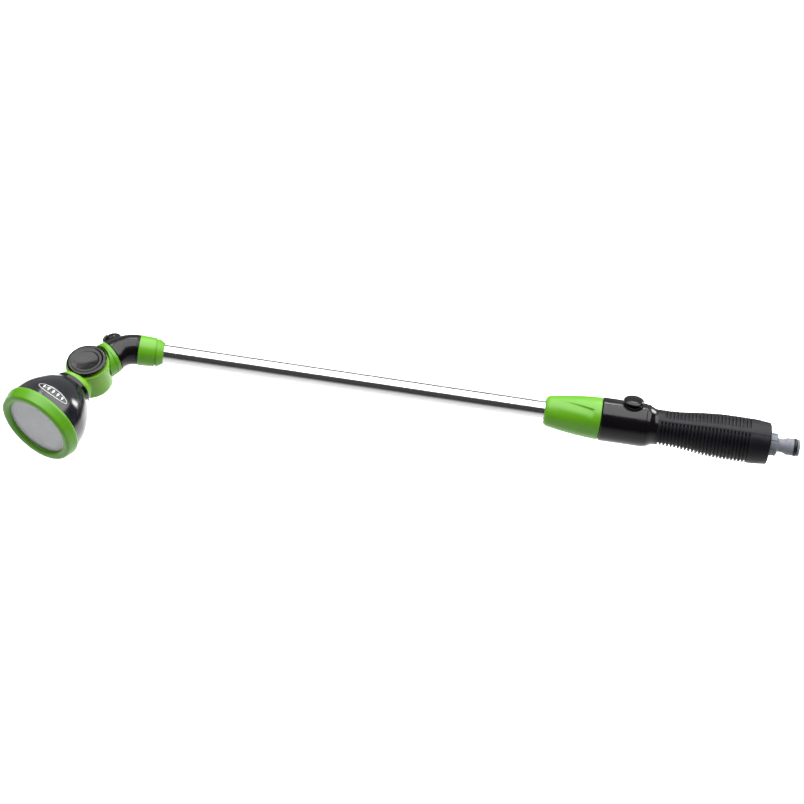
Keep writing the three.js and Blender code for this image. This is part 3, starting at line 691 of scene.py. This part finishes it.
def handle_body():
    """Glossy body: a soft shoulder, a crisp crease, a straight barrel and a hidden spigot."""
    spigot_end, start, full = reach("handle_body", ROD)
    shoulder = reach("grip_sleeve", ROD)[0] - 0.3
    front = reach("sleeve_nut", ROD)[1] + 0.3
    waist = full - 4.3
    spigot, tube_pocket, socket = 14.2, 9.8, 10.7
    chamber_floor, chamber_r, chamber_top = 4, 9, full + 6
    crease = shoulder - 11.5

    def swelling(t):
        return waist + (full - 0.4 - waist) * (1 - math.cos(math.pi * t)) / 2

    rise = [(shoulder + (crease - shoulder) * t, swelling(t), 0) for t in wave(0, 1, 16)]
    profile = soften([
        (start, STEM_R, 0), (shoulder + 0.1, STEM_R, 0), *rise, (crease - 0.3, full - 0.75),
        (crease - 0.9, full), (front + 0.9, full), (front, full - 0.9), (front, spigot, 0),
        (spigot_end, spigot), (spigot_end, tube_pocket), (start, socket, 0)], 0.25)
    piece = lathe(profile, ROD, "handle_body_detail", 160)
    chamber_outline = [
        (chamber_floor, 0), (chamber_floor, chamber_r), (chamber_top, chamber_r), (chamber_top, 0)]
    piece = cut(piece, lathe(chamber_outline, VALVE, "chamber", loop=False))
    finished(piece, "wand", "black_gloss", "handle_body")


def valve_bonnet():
    low, high, outer = reach("valve_bonnet", VALVE)
    inner = 3.5
    profile = soften([(low, outer), (high, outer, 0.6), (high, inner, 0.3), (low, inner)])
    finished(lathe(profile, VALVE, "valve_bonnet_detail"), "wand", "black_gloss", "valve_bonnet")


def flow_knob():
    """Thumb knob: a smooth dome on a narrower stem."""
    low, high, outer = reach("flow_knob", VALVE)
    stem, socket, socket_end = 6.5, 3.5, high - 4.1
    foot = low + 2.8
    rim = foot + 0.9
    dome = [(rim + (high - rim) * math.sin(t), outer * math.cos(t) ** 0.9, 0)
            for t in wave(0, math.pi / 2 * 0.96, 18)]
    profile = soften([
        (socket_end, 0, 0), (socket_end, socket, 0), (low, socket, 0), (low, stem), (foot, stem),
        (foot, outer - 0.5, 0.4), *dome, (high, 0, 0)], 0.25, loop=False)
    finished(lathe(profile, VALVE, "flow_knob_detail", loop=False), "valve", "black_gloss", "flow_knob")


# ---- sleeve, tube and elbow nut ----


def sleeve_nut():
    """Lime sleeve: bulging taper with a raised leaf on top, stepped down into the flanks beside it."""
    back, front, full = reach("sleeve_nut", ROD)
    inner, mouth, pocket = 14.5, 9.8, back + 10
    taper_length, taper_drop = 53, 5.9
    leaf_start, leaf_length, leaf_step = front - 4, 40, 1.5
    taper = [(front - 0.5 - taper_length * t, full - taper_drop * t ** 1.6, 0) for t in wave(0, 1, 60)]
    end = [(back + 1, full - 7.5, 0.5), (back, full - 8.9, 0.5), (back, mouth, 0.4)]
    inside = [(pocket, mouth, 0), (pocket, mouth + 1.4, 0), (front - 35, inner, 0)]
    profile = soften([(front, inner, 0), (front, full - 0.7), *taper, *end, *inside], 0.4)

    def leafed(along, angles, radius):
        """Steps the flank down beside the leaf, which narrows towards the tube."""
        if radius < inner + 0.3:
            return np.full(len(angles), radius)
        run = np.clip((leaf_start - along) / leaf_length, 0, 1)
        half_width = 40 - 25 * run
        aside = from_top(angles)
        flank = ease(aside, half_width - 1, half_width + 3)
        flank = flank * (1 - ease(aside, half_width + 4, half_width + 34))
        return radius - leaf_step * flank * (1 - run) ** 0.7 * ease(run, 0.06, 0.16)

    piece = lathe(profile, ROD, "sleeve_nut_detail", 240, swell=leafed)
    finished(piece, "wand", "lime_plastic", "sleeve_nut")


def tube():
    low, high, outer = reach("tube", ROD)
    inner = outer - 1
    outside = [(x, outer, 0) for x in wave(low, high, 24)[1:-1]]
    profile = soften([(low, outer), *outside, (high, outer), (high, inner), (low, inner)], 0.2)
    finished(lathe(profile, ROD, "tube_detail", 128), "wand", "polished_aluminium", "tube")


def elbow_nut():
    """Lime clamping nut: a cone towards the tube, a groove, and a slightly flared skirt."""
    front, back, full = reach("elbow_nut", ROD)
    groove = front + 17.7
    skirt_bore, tube_bore = 12.6, 9.8
    profile = soften([
        (back, full - 5.2, 0.4), (back - 1.6, full - 4, 0.6), (groove + 1.8, full - 1.5, 0.5),
        (groove + 0.8, full - 1.4), (groove + 0.4, full - 2.2), (groove - 0.4, full - 2.2),
        (groove - 0.8, full - 0.9, 0.4), (front + 0.4, full), (front, full - 0.5), (front, skirt_bore, 0),
        (back - 5, skirt_bore, 0), (back - 5, tube_bore, 0), (back, tube_bore)], 0.25)
    finished(lathe(profile, ROD, "elbow_nut_detail"), "wand", "lime_plastic", "elbow_nut")


# ---- elbow, latch and swivel collar ----

BEND_R = 30.0
ELBOW_R = 15.4
ELBOW_FACE = 17.0
COLLAR_FACE = ELBOW_FACE + 0.3
BARREL_R = 22.4
BARREL_TOP = 12.2
HUMP = (-6.4, 12.4, 0)
HUMP_RADII = (11.2, 10.0, 8.8)


def collar_points(p):
    """Points of the elbow's place, in the collar's place: turned about z by the bend."""
    c, s = math.cos(BEND), math.sin(BEND)
    return np.column_stack([c * p[:, 0] + s * p[:, 1], -s * p[:, 0] + c * p[:, 1], p[:, 2]])


def from_bent_line(p):
    """Distance from the elbow's centre line: straight, round the bend, and straight again."""
    tangent = BEND_R * math.tan(BEND / 2)
    q = collar_points(p)
    bend = np.hypot(np.hypot(p[:, 0] - tangent, p[:, 1] + BEND_R) - BEND_R, p[:, 2])
    return np.where(p[:, 0] > tangent, off_axis(p), np.where(q[:, 0] < -tangent, off_axis(q), bend))


def elbow_field(p):
    nut_face = reach("elbow_nut", ELBOW)[0] - 0.3
    spigot_end = reach("elbow", ELBOW)[1]
    face = -ELBOW_FACE
    q = collar_points(p)
    line = from_bent_line(p)
    body = common(common(line - ELBOW_R, p[:, 0] - nut_face, 0.5), face - q[:, 0], 0.6)
    groove = np.maximum(np.abs(p[:, 0] - nut_face + 1.9) - 0.35, ELBOW_R - 0.5 - line)
    body = without(body, groove, 0.3)
    flange = turned_field(q, [face, face + 0.8, face + 4, face + 9, face + 12],
                          [16.6, 16.8, 15.9, 15.0, 14.0], 0.5)
    hump = common(egg_field(q, HUMP, HUMP_RADII), face - q[:, 0], 0.5)
    outer = merged(merged(body, flange, 1.5), hump, 2.2)
    spigot = tube_field(p, 0, 12.3, nut_face - 4, spigot_end, 0.4)
    outer = np.minimum(outer, spigot)
    pocket = block_field(q, (-LATCH_OUT, 24.2, 0), (3.9, 10, 4.7), 1.2)
    socket = tube_field(q, 0, 11.3, face - 2, face + 11, 0.3)
    waterway = np.where(p[:, 0] > nut_face, off_axis(p) - 9.8, line - 7)
    hollow = np.minimum(waterway, socket)
    return without(without(outer, pocket, 0.5), hollow, 0.3)


def elbow():
    low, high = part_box("elbow")
    corners = [(x, y, z) for x in (low.x, high.x) for y in (low.y, high.y) for z in (low.z, high.z)]
    room = into(ELBOW, corners)
    piece = grown(elbow_field, room.min(axis=0), room.max(axis=0) + 2, 0.42, ELBOW, "elbow_detail")
    finished(piece, "wand", "black_gloss", "elbow")


def latch_field(q):
    """The button: a block under a dome that stands a little proud of the hump, hollow for its spring."""
    body = block_field(q, (-LATCH_OUT, 20.2, 0), (3.5, 3.7, 4.3), 1.4)
    dome = egg_field(q, HUMP, [radius + 1.3 for radius in HUMP_RADII])
    spring_hole = np.maximum(np.hypot(q[:, 0] + LATCH_OUT, q[:, 2]) - 2.9, q[:, 1] - 19.0)
    return without(common(body, dome, 0.8), spring_hole, 0.3)


def latch_button():
    piece = grown(latch_field, (-15, 15.5, -5), (-7, 25, 5), 0.25, COLLAR, "latch_button_detail")
    finished(piece, "latch", "black_gloss", "latch_button")


def swivel_collar():
    """Lime collar with a fine groove, cut to the round of the barrel, with its spigot and neck tube."""
    face = -COLLAR_FACE
    far_end = face - 13.4
    groove_at = face - 4.7
    axis = into(COLLAR, [pivot + tilt_axis * MM])[0] - into(COLLAR, [pivot])[0]

    def field(q):
        wall = np.interp(q[:, 0], [far_end, far_end + 8, face - 0.6, face], [17.8, 17.6, 17.2, 16.8])
        bands = common(off_axis(q) - wall, q[:, 0] - face, 0.6)
        bands = np.maximum(bands, far_end - q[:, 0])
        groove = np.maximum(np.abs(q[:, 0] - groove_at) - 0.4, wall - 0.7 - off_axis(q))
        bands = without(bands, groove, 0.3)
        away = q - np.array((-PIVOT_OUT, 0, 0))
        from_axis = np.linalg.norm(away - np.outer(away @ axis, axis), axis=1)
        bands = common(bands, BARREL_R + 0.35 - from_axis, 0.7)
        spigot = tube_field(q, 0, 10.9, face - 1, -7, 0.3)
        neck = tube_field(q, 0, 6.8, -PIVOT_OUT + 10.4, face - 2, 0.3)
        solid = np.minimum(np.minimum(bands, spigot), neck)
        return without(solid, off_axis(q) - 5, 0.3)

    low, high = (-PIVOT_OUT + 10, -18.5, -18.5), (-6.5, 18.5, 18.5)
    piece = grown(field, low, high, 0.38, COLLAR, "swivel_collar_detail")
    finished(piece, "swivel", "lime_plastic", "swivel_collar")


# ---- pivot barrel, button, head ----


def barrel_field(p):
    """An upright barrel with a neck towards the bell, hollow for the core and the cap."""
    floor = reach("pivot_barrel", BUTTON)[0]
    top = BARREL_TOP
    cavity_r, counterbore_r, cap_room_r, outlet_r, window_r = 12.3, 18.4, 21.2, 7, 7.3
    round_z = off_axis(p, 2)
    body = common(common(round_z - BARREL_R, floor - p[:, 2], 6), p[:, 2] - top, 0.8)
    neck = turned_field(p, [-26, -22.5, -12, 0], [18.9, 18.9, 12.6, 9], 0.5)
    outer = merged(body, neck, 1.2)
    spigot = tube_field(p, 0, 14, -37, -20, 0.4)
    outer = np.minimum(outer, spigot)
    cavity = np.maximum(round_z - cavity_r, floor + 3.2 - p[:, 2])
    counterbore = np.maximum(round_z - counterbore_r, 9.6 - p[:, 2])
    cap_room = np.maximum(round_z - cap_room_r, top + 0.05 - p[:, 2])
    outlet = np.maximum(off_axis(p) - outlet_r, p[:, 0] + 6)
    # The window is a slot round the barrel, so that the neck tube has room when the head tilts.
    turned = np.clip(np.arctan2(p[:, 1], p[:, 0]), math.radians(-35), 0)
    aside = p[:, 1] * np.cos(turned) - p[:, 0] * np.sin(turned)
    window = np.maximum(np.hypot(aside, p[:, 2]) - window_r, -p[:, 0])
    hollow = np.minimum(np.minimum(cavity, counterbore), np.minimum(cap_room, np.minimum(outlet, window)))
    return without(outer, hollow, 0.4)


def pivot_barrel():
    piece = grown(barrel_field, (-38, -23, -21), (23, 23, 20), 0.55, HEAD, "pivot_barrel_detail")
    finished(piece, "head", "pale_lime_plastic", "pivot_barrel")


def tilt_button():
    """Black press cap: a rolled rim, a ledge, a shallow dish, a skirt and a guide pin."""
    low, high, outer = reach("tilt_button", BUTTON)
    dish = 0.6 * outer
    crest = 0.85 * outer
    pin, spring_room, skirt = 3.1, 10.5, outer - 2.6
    ceiling, skirt_end, brim = low + 7.3, low + 6, high - 2.6
    rim = [(high - 1.9 + 1.9 * math.sin(t), crest + (outer - crest) * math.cos(t), 0)
           for t in wave(0, math.pi / 2, 14)]

    def dished(r):
        ledge = 0.8 * float(ease(crest - r, 0, 2.2))
        well = 0.5 * float(ease(dish + 0.8 - r, 0, 1.4))
        return high - ledge - well - 0.9 * (1 - min(r / dish, 1) ** 2)

    bowl = [(dished(r), r, 0) for r in wave(crest - 0.2, 0, 60)]
    profile = soften([
        (low, 0, 0), (low, pin), (ceiling, pin, 0), (ceiling, spring_room, 0), (skirt_end, spring_room),
        (skirt_end, skirt), (brim, skirt, 0), (brim, outer - 0.6, 0.5), *rim, *bowl], 0.3, loop=False)
    piece = lathe(profile, BUTTON, "tilt_button_detail", 128, loop=False)
    finished(piece, "button", "black_gloss", "tilt_button")


def neck_ring():
    """Black ring behind the bell."""
    front, back, outer = reach("neck_ring", HEAD)
    inner = 14.3
    profile = soften([(back, inner), (back, outer - 0.4, 0.5), (back - 0.8, outer, 0.4),
                      (front + 0.6, outer, 0.3), (front, outer - 0.5, 0.4), (front, inner)], 0.2)
    finished(lathe(profile, HEAD, "neck_ring_detail", 128), "head", "black_gloss", "neck_ring")


def curve_through(knots, count):
    """A smooth curve through a few (along, radius) knots."""
    knots = [np.array(knot, float) for knot in knots]
    knots = [2 * knots[0] - knots[1], *knots, 2 * knots[-1] - knots[-2]]
    points = []
    for i in range(1, len(knots) - 2):
        a, b, c, d = knots[i - 1:i + 3]
        for step in range(count):
            t = step / count
            points.append(0.5 * (2 * b + (c - a) * t + (2 * a - 5 * b + 4 * c - d) * t ** 2
                                 + (3 * b - a - 3 * c + d) * t ** 3))
    return points + [knots[-2]]


# From the bell's back to the bezel.
BELL_DEPTH = 44.5


def bell_curve():
    """The bell's outside from its back to the bezel, as (along, radius)."""
    _, back, wide = reach("bell", HEAD)
    return curve_through([(back, wide - 21.2), (back - 11.5, wide - 12), (back - 27.5, wide - 3.8),
                          (back - BELL_DEPTH, wide)], 14)


def bell():
    """Dark glossy bell, with a real wall inside."""
    front, back, wide = reach("bell", HEAD)
    thread, mouth, neck_hole = wide - 2.2, wide - 7, 14.3
    outside = [(x, r, 0) for x, r in bell_curve()]
    inside = [(x - 1.2, r - 2.4, 0) for x, r in bell_curve()[6:-4]][::-1]
    profile = soften([
        *outside, (back - BELL_DEPTH - 0.1, thread), (front, thread), (front, mouth),
        (front + 2.2, mouth, 0), *inside, (back - 2.7, 18), (back - 2.7, neck_hole), (back, neck_hole)], 0.3)
    finished(lathe(profile, HEAD, "bell_detail", 128), "head", "anthracite_gloss", "bell")


PRINT_ANGLE = math.radians(18)
PRINT_BACK = 34.0


def bell_print():
    """A plain row of drops inside a thin oval line, printed on the bell."""
    line = bell_curve()[::-1]
    along_points = [x for x, _ in line]
    radii = [r for _, r in line]
    centre = reach("bell", HEAD)[1] - PRINT_BACK
    reference = float(np.interp(centre, along_points, radii))

    def on_bell(u, v, height):
        """The point u round the bell and v along it from the middle of the print, height above the bell."""
        along = centre + v
        radius = float(np.interp(along, along_points, radii)) + height
        angle = PRINT_ANGLE + u / reference
        return along, -radius * math.sin(angle), radius * math.cos(angle)

    def printed(outline, centre_u, name):
        rows = []
        for share, height in ((0.01, -0.3), (1, -0.3), (1, 0.12), (0.66, 0.13), (0.33, 0.13), (0.01, 0.13)):
            rows.append([on_bell(centre_u + share * u, share * v, height) for u, v in outline])
        finished(skin(rows, HEAD, name), "head", "print_ink")

    drop_spacing = 5.6
    for i in range(-2, 3):
        size = 2.6 - 0.2 * abs(i)
        drop = [(0.62 * size * math.sin(t) * math.sin(t / 2) ** 1.4, -size * math.cos(t))
                for t in wave(0, TURN, 28)[:-1]]
        printed(drop, drop_spacing * i, f"print_drop_{i + 3}")

    oval_u, oval_v = 17.5, 4.4
    section = ((-0.3, -0.2), (-0.3, 0.12), (0.3, 0.12), (0.3, -0.2))
    rows = []
    for t in wave(0, TURN, 72)[:-1]:
        rows.append([on_bell((oval_u + out) * math.cos(t), (oval_v + out) * math.sin(t), height)
                     for out, height in section])
    finished(skin(rows, HEAD, "print_ring", loop=True), "head", "print_ink")


def rose_plate():
    """Pale rose disc with rings of fine spray holes right through it."""
    front, back, outer = reach("rose_plate", HEAD)
    hole, hole_sides, spacing, rings = 0.42, 10, 2.75, 11
    points, outlines = [], []

    def circle(radius, y, z, sides):
        outlines.append(list(range(len(points), len(points) + sides)))
        for i in range(sides):
            angle = i / sides * TURN
            points.append(Vector((y + radius * math.cos(angle), z + radius * math.sin(angle))))

    circle(outer, 0, 0, 128)
    circle(hole, 0, 0, hole_sides)
    for ring in range(1, rings + 1):
        count = 6 * ring
        for i in range(count):
            angle = (i + 0.5 * (ring % 2)) / count * TURN
            y, z = spacing * ring * math.cos(angle), spacing * ring * math.sin(angle)
            circle(hole, y, z, hole_sides)
    flat, _, faces, _, _, face_of = delaunay_2d_cdt(points, [], outlines, 1, 1e-6)
    solid = [face for face, owners in zip(faces, face_of) if owners == [0]]
    work = bmesh.new()
    corners = [work.verts.new((front, point.x, point.y)) for point in flat]
    for face in solid:
        work.faces.new([corners[i] for i in face])
    made = bmesh.ops.extrude_face_region(work, geom=work.faces[:])
    lifted = [part for part in made["geom"] if isinstance(part, bmesh.types.BMVert)]
    bmesh.ops.translate(work, verts=lifted, vec=(back - front, 0, 0))
    work.verts.index_update()
    places = [tuple(vertex.co) for vertex in work.verts]
    sides = [[vertex.index for vertex in face.verts] for face in work.faces]
    work.free()
    piece = clean(mesh_of(places, sides, HEAD, "rose_plate_detail"))
    finished(piece, "head", "pearl_plastic", "rose_plate")


def bezel():
    """Lime ring round the rose: a sloping outer band and a rounded inner lip."""
    front, back, full = reach("bezel", HEAD)
    inner = full - 10.8
    profile = soften([
        (back, full - 2.6), (back, full - 0.6, 0.4), (back - 0.9, full, 0.6), (back - 2.8, full, 0.8),
        (front + 1.4, full - 2.2, 1.2), (front, full - 3.6, 1.3), (front, full - 7.5, 1.6),
        (front + 1.6, inner + 0.6, 1.2), (front + 4.1, inner, 0.3), (front + 4.1, full - 2.6)], 0.3, 6)
    finished(lathe(profile, HEAD, "bezel_detail", 160), "head", "lime_plastic", "bezel")


# ---- everything ----


def finish_hidden_nodes():
    """The CAD nodes that stay as they are, inside the wand, take the material of what they are made of."""
    made_of = {
        "seal_rubber": ("connector_washer", "rose_gasket", "elbow_seal"),
        "white_plastic": ("valve_seat_rear", "valve_seat_front", "tube_collet", "elbow_ferrule",
                          "pivot_core", "bell_nut"),
        "brass": ("valve_ball", "spindle"),
        "spring_steel": ("swivel_clip",),
    }
    for slot, nodes in made_of.items():
        for node in nodes:
            piece = frame["nodes"][node]
            piece.data.materials.clear()
            piece.data.materials.append(materials[slot])


hose_connector()
grip_sleeve()
handle_body()
valve_bonnet()
flow_knob()
sleeve_nut()
tube()
elbow_nut()
elbow()
latch_button()
swivel_collar()
pivot_barrel()
tilt_button()
neck_ring()
bell()
bell_print()
rose_plate()
bezel()
o_ring("connector_o_ring", ROD, "wand", 1.5)
for seal, matrix, body in (
        ("tube_seal", ROD, "wand"), ("spindle_seal", VALVE, "wand"),
        ("swivel_seal", COLLAR, "swivel"), ("pivot_seal_upper", BUTTON, "swivel"),
        ("pivot_seal_lower", BUTTON, "swivel"), ("bell_seal", HEAD, "head")):
    o_ring(seal, matrix, body)
coil_spring("latch_spring", LATCH, "wand", 0.35, 3.5, 2.2, 2.2)
coil_spring("tilt_spring", BUTTON, "swivel", 0.45, 2.5, 8.8, 6.2)
finish_hidden_nodes()

# ---- floor, light and camera ----


def floor():
    """A plain pale floor, set well below the wand."""
    half = 5 / MM
    drop = 0.35
    middle = Matrix.Translation((cad_box[0].x / 2, 0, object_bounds()[0].z - drop))
    corners = [(-half, -half, 0), (half, -half, 0), (half, half, 0), (-half, half, 0)]
    piece = mesh_of(corners, [(0, 1, 2, 3)], middle, "floor")
    finish = Finish("floor", 0.9, specular=0.1)
    finish.paint((0.7, 0.7, 0.7, 1), (0.73, 0.73, 0.73, 1), finish.noise(2, 2))
    piece.data.materials.append(finish.material)
    piece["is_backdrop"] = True


def softbox(name, azimuth, elevation, distance, width, height, radiance, target, spread=180):
    """A soft area light, aimed at target. Azimuth 0 is in front of the wand and 90 at its hose end."""
    light = bpy.data.lights.new(name, "AREA")
    light.shape = "RECTANGLE"
    light.size = width
    light.size_y = height
    light.energy = radiance * math.pi * width * height
    light.spread = math.radians(spread)
    lamp = bpy.data.objects.new(name, light)
    a, e = math.radians(azimuth), math.radians(elevation)
    toward = Vector((math.sin(a) * math.cos(e), -math.cos(a) * math.cos(e), math.sin(e)))
    lamp.location = target + toward * distance
    lamp.rotation_mode = "QUATERNION"
    lamp.rotation_quaternion = toward.to_track_quat("Z", "Y")
    bpy.context.scene.collection.objects.link(lamp)


def lights(target):
    """A strip overhead, a dim wall of light behind, a small light behind the hose end, a floor wash."""
    softbox("overhead", 0, 87, 1.1, 2.6, 1.25, 4.0, target)
    softbox("behind", 180, 30, 1.9, 4.0, 2.1, 0.4, target)
    softbox("side", 131, 22, 1.4, 0.3, 0.45, 14, target)
    softbox("floor_wash", 180, 80, 2.6, 3.6, 0.6, 11, target + Vector((0, 1.28, -0.44)), 60)
    world = bpy.data.worlds.new("studio")
    world.use_nodes = True
    world.node_tree.nodes["Background"].inputs["Color"].default_value = (1, 1, 1, 1)
    world.node_tree.nodes["Background"].inputs["Strength"].default_value = 0.06
    bpy.context.scene.world = world


def camera():
    """A long lens from the front, thirty degrees above the wand, rolled so that the tube runs downhill."""
    tilt = math.radians(30)
    roll = math.radians(8.47)
    distance = 3.4
    # How far the picture's middle lies from the middle of the wand's length: to the left, and below.
    left, below = 0.006, 0.013
    rise = Vector((0, math.sin(tilt), math.cos(tilt)))
    toward = Vector((0, -math.cos(tilt), math.sin(tilt)))
    right = math.cos(roll) * Vector((1, 0, 0)) + math.sin(roll) * rise
    up = -math.sin(roll) * Vector((1, 0, 0)) + math.cos(roll) * rise
    target = Vector(((cad_box[0].x + cad_box[1].x) / 2 - left, 0, 0)) - below * rise
    data = bpy.data.cameras.new("camera")
    data.sensor_width = 36
    data.lens = 149.8
    eye = bpy.data.objects.new("camera", data)
    eye.rotation_mode = "QUATERNION"
    eye.rotation_quaternion = Matrix((right, up, toward)).transposed().to_quaternion()
    eye.location = target + distance * toward
    bpy.context.scene.collection.objects.link(eye)
    bpy.context.scene.camera = eye
    return target


floor()
lights(camera())
bpy.context.scene.view_settings.view_transform = "Standard"
bpy.context.scene.view_settings.look = "None"
